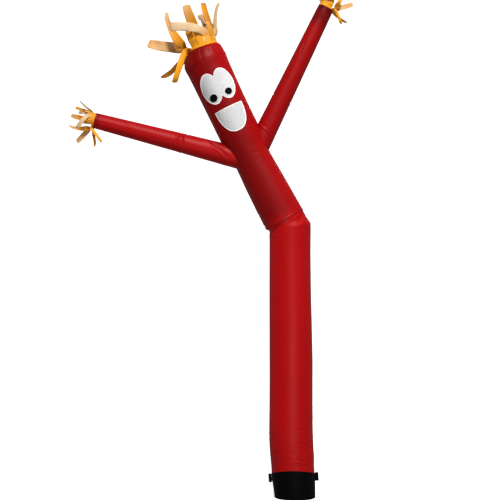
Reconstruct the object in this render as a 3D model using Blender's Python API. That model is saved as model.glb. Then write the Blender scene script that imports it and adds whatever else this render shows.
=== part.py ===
"""Inflatable air dancer: a tall red cloth tube, bent at the waist, with a leaning head and two
raised sleeves, slit fringes for hair and hands, a sewn-on face and a black cuff for a blower.

Frame: metres, +Z up, the face looks towards -Y. The origin is the centre of the cuff's mouth,
where the blower's outlet goes in. Every cloth piece is a real hollow sheet, open where it is
open, and neighbouring pieces keep a gap of 0.3 mm.
"""

import math

import bmesh
import bpy
import numpy as np

# Cloth and how closely pieces lie together
CLOTH = 0.002
PATCH = 0.001
WEBBING = 0.003
GAP = 0.0003
TUBE_SIDES = 32
ARM_SIDES = 24

# Cuff, strap and the foot of the leg share one straight axis that drifts sideways as it rises
FOOT_DRIFT = -0.072
MOUTH_RADIUS = 0.2305
LEG_FOOT_RADIUS = 0.2425
CUFF_TOP_RADIUS = LEG_FOOT_RADIUS - CLOTH - GAP
CUFF_FULL_HEIGHT = 0.165
HEM_HEIGHT = 0.012
LAP = 0.018

# The seam between leg and cuff rides up in front, under the strap
SEAM_HEIGHT = 0.225
SEAM_FRONT_RISE = 0.060
SEAM_BACK_DROP = 0.020
STRAP_WIDTH = 0.092
TAB_REACH = 0.036
TAB_HEIGHT = 0.097
TAB_THICKNESS = 0.008
LEFT_TAB_HEIGHT = 0.214
RIGHT_TAB_HEIGHT = 0.233

# Leg sections above the strap: height, sideways place of the middle, width
LEG_SECTIONS = (
    (0.440, -0.0290, 0.4939),
    (0.540, -0.0377, 0.4935),
    (0.640, -0.0422, 0.4955),
    (0.760, -0.0460, 0.4916),
    (1.090, -0.0450, 0.4883),
    (1.540, -0.0444, 0.4849),
    (1.990, -0.0489, 0.4759),
    (2.440, -0.0546, 0.4669),
    (2.750, -0.0566, 0.4626),
    (2.891, -0.0563, 0.4635),
)
PLEAT = 0.0022

# The waist: the leg's outer side runs on to a mitre fold, then tucks under the body's edge
MITRE_CENTRE = (-0.0557, 3.0331)
MITRE_LEAN = math.radians(12.6)
MITRE_WIDTH = 0.4739
MITRE_DEPTH = 0.4625
TUCK = 0.007
LEG_LAP = 0.015

# Body axis from the waist seam to the head, bowed to the left between them
WAIST = np.array((-0.1159, 3.1174))
CROWN = np.array((-1.0170, 4.9174))
AXIS_BOW = 0.018

# Body sections: distance along the axis from the waist seam, width
BODY_SECTIONS = (
    (0.000, 0.4725),
    (0.250, 0.4624),
    (0.500, 0.4455),
    (0.700, 0.4270),
    (0.800, 0.4215),
    (0.900, 0.4300),
    (1.000, 0.4500),
    (1.107, 0.4640),
    (1.300, 0.4660),
    (1.500, 0.4685),
    (1.700, 0.4742),
    (1.887, 0.4815),
    (2.025, 0.4850),
)
FACE_FROM, FACE_TO = 5, 12

# Gathered top of the head: rise above the last section, shift to the right, width, pleat depth
CROWN_SECTIONS = (
    (0.055, 0.014, 0.448, 0.0030),
    (0.095, 0.030, 0.398, 0.0045),
    (0.113, 0.038, 0.353, 0.0),
)
VENT_TURN = math.radians(-4.5)

# Arms: root on the body's axis, centre of the hand end, and the widths there
LEFT_ARM = {"root": (-0.459, 0.0, 3.769), "end": (-2.241, -0.100, 4.2264),
            "root_width": 0.2565, "end_width": 0.174}
RIGHT_ARM = {"root": (-0.477, 0.0, 3.8053), "end": (0.3517, 0.080, 5.5158),
             "root_width": 0.2520, "end_width": 0.180}
# Share of the arm's length, pinch of the cloth there
ARM_SECTIONS = (
    (0.09, 0.0),
    (0.24, 0.0),
    (0.37, 0.0),
    (0.40, 0.0030),
    (0.43, 0.0),
    (0.55, 0.0),
    (0.70, 0.0),
    (0.85, 0.0),
    (0.975, 0.0),
    (1.00, 0.0015),
)

# Face patches, in the head's own plane: across the axis, along it from the waist seam
EYE_ACROSS = (-0.077, 0.085)
EYE_ALONG = 1.658
EYE_HALF_WIDTH = 0.105
EYE_HALF_HEIGHT = 0.179
PUPILS = {"pupil_left": (-0.093, 1.557, 0.043), "pupil_right": (0.087, 1.556, 0.039)}
MOUTH_ACROSS = 0.008
MOUTH_TOP = 1.402
MOUTH_HALF_WIDTH = 0.162
MOUTH_DEPTH = 0.288
MOUTH_ROUNDNESS = 2.3
OUTLINE_STEPS = 36
CUTTER_NEAR, CUTTER_FAR = -0.02, -0.40

# Fringe: a band slit into strips, at the hair's size; the hands repeat it smaller
BAND_LAP = 0.014
BAND_EASE = 0.00015
STRIP_COUNT = 12
SLIT_SHARE = 0.10
STRIP_STEPS = 8
STRIP_LIFT = 0.080
FULL_WIDTH = 0.090
TIP_WIDTH = 0.080
TURN_FROM, TURN_TO = 0.12, 0.42
# Place of each strip in the vent's own frame, in mm: across, up the axis, out to the front.
# Flare is the angle at which a strip leaves the band. Turn is how far its broad side is off
# the front, or None where it stays square to the band and curls over.
STRIPS = (
    # name, root angle, root height, flare, middle (across, up, out), tip (across, up, out), turn
    ("right_thin", 0, 60, 14, (224, 234, -12), (345, 400, 0), 62),
    ("right_upright", 30, 90, 15, (150, 295, -80), (184, 482, -60), 50),
    ("back_right", 60, 70, 30, (80, 225, -215), (60, 290, -370), None),
    ("back_tall", 90, 90, 10, (-36, 312, -140), (-14, 545, -130), 8),
    ("left_under", 120, 24, 45, (-300, -36, -262), (-552, -106, -200), 50),
    ("left_wide", 150, 40, 50, (-385, 158, -110), (-572, 262, -90), 0),
    ("left_tall", 180, 24, 50, (-270, 228, 10), (-238, 520, 0), 30),
    ("left_hanging", 210, 24, 45, (-290, -96, 190), (-436, -275, 150), 40),
    ("front_left", 240, 60, 25, (-94, 205, 112), (-85, 225, -30), None),
    ("front", 270, 90, 15, (6, 222, 104), (15, 205, -60), None),
    ("front_across", 300, 90, 25, (-4, 204, 212), (-276, 328, 175), 0),
    ("front_right", 330, 80, 12, (150, 214, 100), (92, 206, 62), None),
)
HAND_SCALE = 0.5
RIGHT_HAND_TILT = math.radians(8.0)

MM = 0.001
FRONT = np.array((0.0, -1.0, 0.0))
COLOURS = {
    "red_nylon": ((0.36, 0.008, 0.012, 1.0), 0.45),
    "orange_nylon": ((0.83, 0.36, 0.03, 1.0), 0.55),
    "white_cloth": ((0.80, 0.80, 0.80, 1.0), 0.70),
    "black_cloth": ((0.010, 0.010, 0.012, 1.0), 0.60),
    "black_webbing": ((0.006, 0.006, 0.007, 1.0), 0.55),
}


def clear_scene():
    for obj in list(bpy.data.objects):
        bpy.data.objects.remove(obj)


def cloth_material(name):
    colour, roughness = COLOURS[name]
    made = bpy.data.materials.get(name) or bpy.data.materials.new(name)
    made.use_nodes = True
    shader = made.node_tree.nodes["Principled BSDF"]
    shader.inputs["Base Color"].default_value = colour
    shader.inputs["Roughness"].default_value = roughness
    shader.inputs["Metallic"].default_value = 0.0
    return made


def add_object(name, mesh_data, material_name):
    """Turn a finished bmesh into an object of the scene."""
    mesh = bpy.data.meshes.new(name)
    mesh_data.to_mesh(mesh)
    mesh_data.free()
    mesh.shade_smooth()
    mesh.set_sharp_from_angle(angle=math.radians(40))
    obj = bpy.data.objects.new(name, mesh)
    bpy.context.scene.collection.objects.link(obj)
    if material_name:
        mesh.materials.append(cloth_material(material_name))
    return obj


def add_cutter(name, mesh_data):
    obj = add_object(name, mesh_data, None)
    obj.hide_render = True
    obj.display_type = "WIRE"
    return obj


def cut(obj, operation, cutter):
    step = obj.modifiers.new(cutter.name, "BOOLEAN")
    step.operation = operation
    step.solver = "EXACT"
    step.object = cutter


def give_wall(obj, thickness):
    """Grow the sheet inwards from its outer surface."""
    wall = obj.modifiers.new("sheet", "SOLIDIFY")
    wall.thickness = thickness
    wall.offset = -1.0


def angles(sides):
    return np.arange(sides) * 2 * math.pi / sides


def ring(centre, lean, width, depth, sides, pleat=0.0):
    """Points of a round section. Its plane is square to a direction that leans to the left;
    a pleat moves every other point inwards."""
    turn = angles(sides)
    inward = pleat * (np.arange(sides) % 2)
    across = (width / 2 - inward) * np.cos(turn)
    points = np.empty((sides, 3))
    points[:, 0] = centre[0] + across * math.cos(lean)
    points[:, 1] = (depth / 2 - inward) * np.sin(turn)
    points[:, 2] = centre[1] + across * math.sin(lean)
    return points


def skin(rings, caps=False):
    """Join a stack of rings, bottom first, into a tube's outer surface, capped for a cutter."""
    mesh = bmesh.new()
    loops = [[mesh.verts.new(point) for point in points] for points in rings]
    for low, high in zip(loops, loops[1:]):
        for i in range(len(low)):
            j = (i + 1) % len(low)
            mesh.faces.new((low[i], low[j], high[j], high[i]))
    if caps:
        mesh.faces.new(loops[0][::-1])
        mesh.faces.new(loops[-1])
    return mesh


# ---- foot: cuff, strap and tabs ----

def foot_ring(height, radius, sides=TUBE_SIDES):
    """A section about the foot's drifting axis; height is one value or one for each point."""
    turn = angles(sides)
    rise = np.broadcast_to(height, sides)
    return np.stack((FOOT_DRIFT * rise + radius * np.cos(turn), radius * np.sin(turn), rise), axis=1)


def seam_line(offset, sides=TUBE_SIDES):
    """Height of the leg and cuff seam round the foot: up in front, down behind."""
    front = -np.sin(angles(sides))
    even = (SEAM_FRONT_RISE + SEAM_BACK_DROP) / 2
    uneven = (SEAM_FRONT_RISE - SEAM_BACK_DROP) / 2
    return SEAM_HEIGHT + even * front + uneven * front**2 + offset


def cuff():
    hem = foot_ring(0.0, MOUTH_RADIUS)
    hem_top = hem + (0.0, 0.0, HEM_HEIGHT)
    rings = [
        hem,
        hem_top,
        foot_ring(0.075, 0.2348),
        foot_ring(CUFF_FULL_HEIGHT, CUFF_TOP_RADIUS),
        foot_ring(seam_line(LAP), CUFF_TOP_RADIUS),
    ]
    give_wall(add_object("cuff", skin(rings), "black_cloth"), CLOTH)


def strap():
    radius = LEG_FOOT_RADIUS + GAP + WEBBING
    rings = [foot_ring(seam_line(side * STRAP_WIDTH / 2), radius) for side in (-1, 1)]
    give_wall(add_object("strap", skin(rings), "black_webbing"), WEBBING)


def strap_tab(name, side, height):
    """A doubled webbing end that stands out flat from the strap."""
    root = LEG_FOOT_RADIUS + WEBBING + 2 * GAP
    mesh = bmesh.new()
    bmesh.ops.create_cube(mesh, size=1.0)
    outer = [e for e in mesh.edges if all(v.co.x > 0 for v in e.verts)]
    for corner in mesh.verts:
        reach = root + (TAB_REACH if corner.co.x > 0 else 0.0)
        corner.co.y *= TAB_THICKNESS
        corner.co.z = height + corner.co.z * TAB_HEIGHT
        corner.co.x = FOOT_DRIFT * corner.co.z + side * reach
    bmesh.ops.recalc_face_normals(mesh, faces=mesh.faces)
    bmesh.ops.bevel(mesh, geom=outer, offset=0.003, segments=2, affect="EDGES")
    add_object(name, mesh, "black_webbing")


# ---- leg and waist ----

def leg():
    rings = [foot_ring(seam_line(-LAP), LEG_FOOT_RADIUS), foot_ring(0.370, LEG_FOOT_RADIUS)]
    for height, shift, width in LEG_SECTIONS:
        pleat = PLEAT if height < 0.5 else 0.0
        rings.append(ring((shift, height), 0.0, width, width, TUBE_SIDES, pleat))
    rings.append(ring(MITRE_CENTRE, MITRE_LEAN, MITRE_WIDTH, MITRE_DEPTH, TUBE_SIDES))
    under = BODY_SECTIONS[0][1] - 2 * (CLOTH + GAP)
    seam = axis_point(-0.002)
    middle = (seam + np.array(MITRE_CENTRE)) / 2
    tucked = (under + MITRE_DEPTH) / 2 - 2 * TUCK
    rings.append(ring(middle, (axis_lean(0.0) + MITRE_LEAN) / 2, tucked, tucked, TUBE_SIDES))
    rings.append(ring(seam, axis_lean(0.0), under, under, TUBE_SIDES))
    lap_width = body_width(LEG_LAP) - 2 * (CLOTH + GAP)
    rings.append(ring(axis_point(LEG_LAP), axis_lean(LEG_LAP), lap_width, lap_width, TUBE_SIDES))
    give_wall(add_object("leg_tube", skin(rings), "red_nylon"), CLOTH)


# ---- body ----

AXIS_LENGTH = float(np.linalg.norm(CROWN - WAIST))
AXIS = (CROWN - WAIST) / AXIS_LENGTH
ACROSS = np.array((AXIS[1], -AXIS[0]))


def axis_point(along, across=0.0):
    """Place in the XZ plane at a distance along the bowed axis and across it."""
    share = along / AXIS_LENGTH
    bow = AXIS_BOW * 4 * share * (1 - share)
    return WAIST + along * AXIS + (across - bow) * ACROSS


def axis_lean(along):
    slope = AXIS_BOW * 4 * (1 - 2 * along / AXIS_LENGTH) / AXIS_LENGTH
    return math.atan2(-AXIS[0], AXIS[1]) + math.atan(slope)


def body_width(along):
    table = np.array(BODY_SECTIONS)
    return float(np.interp(along, table[:, 0], table[:, 1]))


def body_rings(extra=0.0, first=0, last=len(BODY_SECTIONS)):
    """The body's straight sections, with their radius grown by extra."""
    rows = BODY_SECTIONS[first:last + 1]
    return [
        ring(axis_point(along), axis_lean(along), width + 2 * extra, width + 2 * extra, TUBE_SIDES)
        for along, width in rows
    ]


def crown_rings():
    """The gathered top of the head, up to its open vent."""
    start = BODY_SECTIONS[-1][0]
    rings = []
    for step, (rise, shift, width, pleat) in enumerate(CROWN_SECTIONS, 1):
        lean = axis_lean(start + rise) + VENT_TURN * step / len(CROWN_SECTIONS)
        centre = axis_point(start + rise, shift)
        rings.append(ring(centre, lean, width, width, TUBE_SIDES, pleat))
    return rings


def body():
    obj = add_object("body_tube", skin(body_rings() + crown_rings()), "red_nylon")
    give_wall(obj, CLOTH)
    for name, arm in (("bore_left", LEFT_ARM), ("bore_right", RIGHT_ARM)):
        bore = [arm_ring(arm, share, -CLOTH) for share in (0.04, 0.34)]
        cut(obj, "DIFFERENCE", add_cutter(name, skin(bore, caps=True)))


# ---- arms ----

def arm_ring(arm, share, extra=0.0):
    """A section of an arm at a share of its length, square to the arm."""
    root, end = np.array(arm["root"]), np.array(arm["end"])
    along = (end - root) / np.linalg.norm(end - root)
    back = np.array((0.0, 1.0, 0.0)) - along[1] * along
    back /= np.linalg.norm(back)
    side = np.cross(back, along)
    width = arm["root_width"] + share * (arm["end_width"] - arm["root_width"])
    turn = angles(ARM_SIDES)
    radius = width / 2 + extra
    return root + share * (end - root) + radius * (
        np.outer(np.cos(turn), side) + np.outer(np.sin(turn), back)
    )


def arm(name, shape):
    rings = [arm_ring(shape, share, -pinch) for share, pinch in ARM_SECTIONS]
    obj = add_object(name, skin(rings), "red_nylon")
    give_wall(obj, CLOTH)
    return obj


def arms():
    blank = skin(body_rings(extra=GAP, first=1, last=9), caps=True)
    clearance = add_cutter("body_clearance", blank)
    for name, shape in (("arm_left", LEFT_ARM), ("arm_right", RIGHT_ARM)):
        cut(arm(name, shape), "DIFFERENCE", clearance)


# ---- face ----

def prism(outline):
    """A block along Y with the given outline of (across, along) points on the head."""
    rings = []
    for depth in (CUTTER_FAR, CUTTER_NEAR):
        flat = [axis_point(along, across) for across, along in outline]
        rings.append(np.array([(x, depth, z) for x, z in flat]))
    mesh = skin(rings, caps=True)
    bmesh.ops.recalc_face_normals(mesh, faces=mesh.faces)
    return mesh


def oval(across, along, half_width, half_height):
    turn = angles(OUTLINE_STEPS)
    return np.stack((across + half_width * np.cos(turn), along + half_height * np.sin(turn)), axis=1)


def smile():
    """Straight above, and a squarish half oval below."""
    turn = np.linspace(0.0, math.pi, OUTLINE_STEPS // 2 + 1)
    power = 2 / MOUTH_ROUNDNESS
    across = np.sign(np.cos(turn)) * np.abs(np.cos(turn)) ** power
    down = np.sin(turn) ** power
    return np.stack(
        (MOUTH_ACROSS + MOUTH_HALF_WIDTH * across, MOUTH_TOP - MOUTH_DEPTH * down), axis=1
    )


def patch(name, cutter, material_name, lift):
    """A sheet that lies on the head, cut to an outline. lift is the gap under it."""
    rings = body_rings(extra=lift + PATCH, first=FACE_FROM, last=FACE_TO)
    obj = add_object(name, skin(rings), material_name)
    give_wall(obj, PATCH)
    cut(obj, "INTERSECT", cutter)


def face():
    left, right = (
        prism(oval(across, EYE_ALONG, EYE_HALF_WIDTH, EYE_HALF_HEIGHT)) for across in EYE_ACROSS
    )
    both = add_cutter("eye_outline", left)
    cut(both, "UNION", add_cutter("eye_outline_right", right))
    patch("eyes_patch", both, "white_cloth", GAP)
    patch("mouth_patch", add_cutter("mouth_outline", prism(smile())), "white_cloth", GAP)
    for name, (across, along, radius) in PUPILS.items():
        outline = add_cutter(name + "_outline", prism(oval(across, along, radius, radius)))
        patch(name, outline, "black_cloth", 2 * GAP + PATCH)


# ---- fringes ----

def strip_path(root, middle, tip, start):
    """A cubic curve that leaves the root along start and passes through the middle point."""
    first = root + start
    second = (8 * middle - root - 3 * first - tip) / 3
    t = np.linspace(0.0, 1.0, STRIP_STEPS + 1)[:, None]
    curve = (1 - t) ** 3 * root + 3 * (1 - t) ** 2 * t * first
    curve = curve + 3 * (1 - t) * t**2 * second + t**3 * tip
    along = np.gradient(curve, axis=0)
    return curve, along / np.linalg.norm(along, axis=1, keepdims=True)


def strip_sections(curve, along, across, widths, turn, hand):
    """Four corners of a flat ribbon at each step. Its broad side starts along the band, comes
    round to face the front, and is then turned about the ribbon's own line."""
    sections = []
    facing = across
    for step in range(1, len(curve)):
        ahead = along[step]
        across = across - (across @ ahead) * ahead
        across = across / np.linalg.norm(across)
        side = across
        if turn is not None:
            share = np.clip((step / (len(curve) - 1) - TURN_FROM) / (TURN_TO - TURN_FROM), 0.0, 1.0)
            square = np.cross(ahead, FRONT)
            facing = square * math.copysign(1.0, square @ facing)
            side = (1.02 - share) * across + share * facing
            side = side / np.linalg.norm(side)
            angle = hand * math.radians(turn) * share
            side = math.cos(angle) * side + math.sin(angle) * np.cross(side, ahead)
        half = side * widths[step] / 2
        outer = hand * np.cross(side, ahead) * CLOTH / 2
        sections.append([curve[step] + shift for shift in
                         (outer - half, outer + half, half - outer, -half - outer)])
    return sections


def grow_strip(mesh, rim, sections):
    """Carry the rim's four corners along the strip, both broad sides split the same way."""
    last = list(rim.verts)
    mesh.faces.remove(rim)
    for section in sections:
        new = [mesh.verts.new(point) for point in section]
        mesh.faces.new((last[0], last[1], new[1]))
        mesh.faces.new((last[0], new[1], new[0]))
        mesh.faces.new((last[1], last[2], new[2], new[1]))
        mesh.faces.new((last[2], last[3], new[2]))
        mesh.faces.new((last[3], new[3], new[2]))
        mesh.faces.new((last[3], last[0], new[0], new[3]))
        last = new
    mesh.faces.new(last)


def band(mesh, corner, scale):
    """The slit ring that all strips grow from. Returns the faces where they start."""
    step = 2 * math.pi / STRIP_COUNT
    reach = (1 - SLIT_SHARE) * step / 2
    low = [-BAND_LAP] * STRIP_COUNT
    high = [MM * scale * height for _, _, height, *_ in STRIPS]
    loops = []
    for depth, heights in ((0.0, low), (0.0, high), (CLOTH, high), (CLOTH, low)):
        loops.append([
            mesh.verts.new(corner(k * step + side * reach, depth, heights[k]))
            for k in range(STRIP_COUNT) for side in (-1, 1)
        ])
    rims = []
    for turn in range(4):
        one, two = loops[turn], loops[(turn + 1) % 4]
        for i in range(2 * STRIP_COUNT):
            j = (i + 1) % (2 * STRIP_COUNT)
            quad = mesh.faces.new((one[i], one[j], two[j], two[i]))
            if turn == 1 and i % 2 == 0:
                rims.append(quad)
    return rims


def fringe(name, centre, across, up, radius, scale, hand=1, tilt=0.0):
    """A band that stands in a tube's open end, slit into strips from its top edge.
    hand is -1 for a mirrored fringe; tilt swings the strips over the band."""
    across = hand * across
    back = np.array((0.0, 1.0, 0.0)) - up[1] * up
    back /= np.linalg.norm(back)
    strips_across = math.cos(tilt) * across - math.sin(tilt) * up
    strips_up = math.cos(tilt) * up + math.sin(tilt) * across
    mesh = bmesh.new()

    def corner(angle, depth, height):
        flat = math.cos(angle) * across + math.sin(angle) * back
        return centre + (radius - depth) * flat + height * up

    def place(point):
        right, rise, out = (MM * scale * value for value in point)
        return centre + right * strips_across + rise * strips_up - out * back

    rims = band(mesh, corner, scale)
    for rim, (_, degrees, _, flare, middle, tip, turn) in zip(rims, STRIPS):
        angle, flare = math.radians(degrees), math.radians(flare)
        outward = math.cos(angle) * across + math.sin(angle) * back
        tangent = math.cos(angle) * back - math.sin(angle) * across
        start = STRIP_LIFT * scale * (math.cos(flare) * up + math.sin(flare) * outward)
        root = np.array(rim.calc_center_median())
        curve, along = strip_path(root, place(middle), place(tip), start)
        root_width = rim.calc_perimeter() / 2 - CLOTH
        share = np.linspace(0.0, 1.0, len(curve))
        widths = np.interp(share, (0.0, 0.3, 1.0), (root_width, FULL_WIDTH * scale, TIP_WIDTH * scale))
        grow_strip(mesh, rim, strip_sections(curve, along, tangent, widths, turn, hand))
    bmesh.ops.recalc_face_normals(mesh, faces=mesh.faces)
    add_object(name, mesh, "orange_nylon")


def fringe_radius(opening, sides):
    """A band whose corners come just short of a faceted opening's wall."""
    return opening * math.cos(math.pi / sides) + BAND_EASE


def fringes():
    rise, shift, width, _ = CROWN_SECTIONS[-1]
    along = BODY_SECTIONS[-1][0] + rise
    lean = axis_lean(along) + VENT_TURN
    x, z = axis_point(along, shift)
    fringe("hair", np.array((x, 0.0, z)), np.array((math.cos(lean), 0.0, math.sin(lean))),
           np.array((-math.sin(lean), 0.0, math.cos(lean))),
           fringe_radius(width / 2 - CLOTH, TUBE_SIDES), 1.0)
    for name, shape, hand, tilt in (
        ("hand_left", LEFT_ARM, 1, 0.0), ("hand_right", RIGHT_ARM, -1, RIGHT_HAND_TILT)
    ):
        root, end = np.array(shape["root"]), np.array(shape["end"])
        up = (end - root) / np.linalg.norm(end - root)
        across = np.cross((0.0, 1.0, 0.0), up)
        across /= np.linalg.norm(across)
        opening = shape["end_width"] / 2 - ARM_SECTIONS[-1][1] - CLOTH
        radius = fringe_radius(opening, ARM_SIDES)
        fringe(name, end, across, up, radius, HAND_SCALE, hand, tilt)


def main():
    clear_scene()
    cuff()
    strap()
    strap_tab("tab_left", -1, LEFT_TAB_HEIGHT)
    strap_tab("tab_right", 1, RIGHT_TAB_HEIGHT)
    leg()
    body()
    arms()
    face()
    fringes()


main()
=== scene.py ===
# Inflatable air dancer: fine cloth, seams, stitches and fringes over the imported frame
import math

import bpy
import numpy as np
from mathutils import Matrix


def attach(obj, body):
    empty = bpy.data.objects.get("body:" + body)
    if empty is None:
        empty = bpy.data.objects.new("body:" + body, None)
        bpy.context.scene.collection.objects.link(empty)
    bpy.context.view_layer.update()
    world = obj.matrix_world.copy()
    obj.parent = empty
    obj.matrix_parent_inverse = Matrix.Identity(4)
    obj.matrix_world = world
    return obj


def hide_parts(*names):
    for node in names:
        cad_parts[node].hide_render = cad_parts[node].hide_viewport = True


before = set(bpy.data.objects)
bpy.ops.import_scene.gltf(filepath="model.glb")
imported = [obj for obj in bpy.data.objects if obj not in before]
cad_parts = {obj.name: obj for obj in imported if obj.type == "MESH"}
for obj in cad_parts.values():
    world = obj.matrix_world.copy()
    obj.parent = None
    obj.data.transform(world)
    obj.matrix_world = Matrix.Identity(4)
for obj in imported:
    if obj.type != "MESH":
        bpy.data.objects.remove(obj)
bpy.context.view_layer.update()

front = np.array((0.0, -1.0, 0.0))
backward = np.array((0.0, 1.0, 0.0))
print("stage: frame loaded,", len(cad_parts), "nodes")


# A smooth curve through a short table: cubic pieces with the table's own mean slopes
def smooth(x, xs, ys):
    xs, ys = np.asarray(xs, float), np.asarray(ys, float)
    slope = np.gradient(ys, xs)
    k = np.clip(np.searchsorted(xs, x) - 1, 0, len(xs) - 2)
    h = xs[k + 1] - xs[k]
    t = np.clip((x - xs[k]) / h, 0.0, 1.0)
    low = ys[k] * (1 + 2 * t) * (1 - t) ** 2 + slope[k] * h * t * (1 - t) ** 2
    return low + ys[k + 1] * t * t * (3 - 2 * t) - slope[k + 1] * h * t * t * (1 - t)


# Zero below low, one above high, an even S-curve between
def ease(x, low, high):
    t = np.clip((x - low) / (high - low), 0.0, 1.0)
    return t * t * (3 - 2 * t)


# An angle difference brought to half a turn either way
def wrapped(angle):
    return (angle + math.pi) % (2 * math.pi) - math.pi


phaseSpan = 6.28  # the waves' phases are drawn from zero to this
foldUnits = np.array((0.001, 1, 0.001, 0.001, 0.001, 1))  # millimetres and degrees
ridges = ((0.6, 1.7), (0.35, -1.7))  # beside a fold's trough: height, and place in fold widths
# painted shade and light in folds: the tone change for a full crease of this depth, with its
# darkest and lightest bounds
crease = {"tone": 0.32, "depth": 0.006, "darkest": -1.0, "lightest": 0.55}


# Uneven waviness: a few sine waves of seeded phase, whole numbers of them round the tube
def waviness(s, a, seed, waves, rate):
    rng = np.random.default_rng(seed)
    total = np.zeros(np.broadcast(s, a).shape)
    for count in waves:
        phase = rng.uniform(0, phaseSpan)
        drift, size = rng.uniform(-rate, rate), rng.uniform(0.5, 1.0)
        total += size * np.sin(count * a + phase + drift * s)
    return total / len(waves)


# Wavinesses added up; each row has height, stretch along the tube, seed, waves, rate
def ripples(s, a, rows):
    return sum(height * waviness(s * stretch, a, seed, waves, rate)
               for height, stretch, seed, waves, rate in rows)


# Folds in a tube: each a bell-shaped trough between low ridges, dying away along its line
def folds(s, a, radius, rows):
    total = np.zeros(np.broadcast(s, a).shape)
    for row in rows:
        at, turn, run, width, depth, tilt = foldUnits * row
        x = wrapped(a - math.radians(turn)) * radius
        y = s - at
        c, q = math.cos(math.radians(tilt)), math.sin(math.radians(tilt))
        line, off = x * c + y * q, y * c - x * q
        shape = -np.exp(-(off / width) ** 2)
        for height, place in ridges:
            shape += height * np.exp(-((off - place * width) / width) ** 2)
        total += depth * shape * np.exp(-(line / run) ** 4)
    return total


# Painted shade and light from folds: their depth over a full crease's, within its bounds, darkens
# troughs and lightens ridges
def paintedCreaseShading(s, a, radius, rows):
    depth = folds(s, a, radius, rows) / crease["depth"]
    return crease["tone"] * np.clip(depth, crease["darkest"], crease["lightest"])


# How near an angle is to a given one: a bell of the given width
def nearTurn(a, degrees, width):
    return np.exp(-(wrapped(a - math.radians(degrees)) / width) ** 2)


# Arrays of one grid set side by side on a new last axis
def stacked(*parts):
    return np.stack(np.broadcast_arrays(*parts), axis=-1)


# Vectors on the last axis brought to a length of one
def unit(v):
    return v / np.maximum(np.linalg.norm(v, axis=-1, keepdims=True), 1e-9)


# The faces of a grid of points that closes round its columns and, if asked, its rows
def gridFaces(rows, columns, start=0, looped=False):
    index = np.arange(rows * columns).reshape(rows, columns) + start
    if looped:
        index = np.concatenate((index, index[:1]))
    right = np.roll(index, -1, axis=1)
    quads = (index[:-1], right[:-1], right[1:], index[1:])
    return np.stack([part.ravel() for part in quads], axis=1)


# The faces across a closed row of points, from its first half to its second
def capFaces(count):
    pairs = np.arange(count // 2 - 1)
    return np.stack((pairs, pairs + 1, count - 2 - pairs, count - 1 - pairs), axis=1)


# Distances along a line of points from its start
def distances(line):
    return np.append(0.0, np.cumsum(np.linalg.norm(np.diff(line, axis=0), axis=1)))


# An object made from its data and put in the scene
def addObject(name, data):
    obj = bpy.data.objects.new(name, data)
    bpy.context.scene.collection.objects.link(obj)
    return obj


# One mesh object from points, quads, a map in metres and a tone that scales the colour
def makeMesh(name, points, faces, flat=None, tone=None, material=None, pale=None):
    mesh = bpy.data.meshes.new(name)
    mesh.from_pydata(points.reshape(-1, 3).tolist(), [], faces.tolist())
    loops = np.empty(len(mesh.loops), np.int32)
    mesh.loops.foreach_get("vertex_index", loops)
    if flat is not None:
        layer = mesh.uv_layers.new(name="flat")
        layer.uv.foreach_set("vector", flat.reshape(-1, 2)[loops].astype(np.float32).ravel())
    for key, values in (("tone", tone), ("pale", pale)):
        if values is not None:
            layer = mesh.attributes.new(key, "FLOAT", "POINT")
            values = np.broadcast_to(values, points.shape[:-1])
            layer.data.foreach_set("value", values.astype(np.float32).ravel())
    mesh.materials.append(material)
    mesh.shade_smooth()
    return addObject(name, mesh)


# A finished piece rides on the root body and may take a solid's place
def fitPiece(obj, slot, node=None, **sheet):
    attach(obj, "root")
    if node:
        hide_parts(node)


# One stitch's corners: along the seam in half lengths, across it and up in half widths
stitchShape = ((-1, 0, 0), (-0.6, 1, 0.6), (0.6, 1, 0.6), (1, 0, 0), (0.6, -1, 0.6),
               (-0.6, -1, 0.6))


# Stitches at equal steps along a line on a surface, standing the way that the line is lifted
def sewnRow(lineAt, lift, size, probe=0.01):
    pitch, long, wide, raised = size
    line = lineAt(lift)
    normals = unit(lineAt(lift + probe) - line)
    length = distances(line)
    at = np.arange(pitch / 2, length[-1], pitch)
    points = np.stack([np.interp(at, length, part) for part in line.T], axis=1)
    share = at / max(at[-1], 1e-6) * (len(normals) - 1)
    ups = unit(np.stack([np.interp(share, np.arange(len(normals)), part)
                         for part in normals.T], axis=1))
    way = unit(np.gradient(points, axis=0))
    side = unit(np.cross(ups, way))
    corners = [points + way * a * long / 2 + side * b * wide / 2 + ups * (raised + c * wide / 2)
               for a, b, c in stitchShape]
    verts = np.stack(corners, axis=1).reshape(-1, 3)
    base = np.arange(len(points))[:, None] * len(stitchShape)
    return verts, np.concatenate((base + (0, 1, 2, 3), base + (0, 3, 4, 5)), axis=0)


# Several rows of stitches joined into one piece
def stitchPiece(name, rows, material, slot):
    verts, quads, start = [], [], 0
    for rowVerts, rowQuads in rows:
        verts.append(rowVerts)
        quads.append(rowQuads + start)
        start += len(rowVerts)
    obj = makeMesh(name, np.concatenate(verts), np.concatenate(quads), material=material)
    fitPiece(obj, slot)


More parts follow.
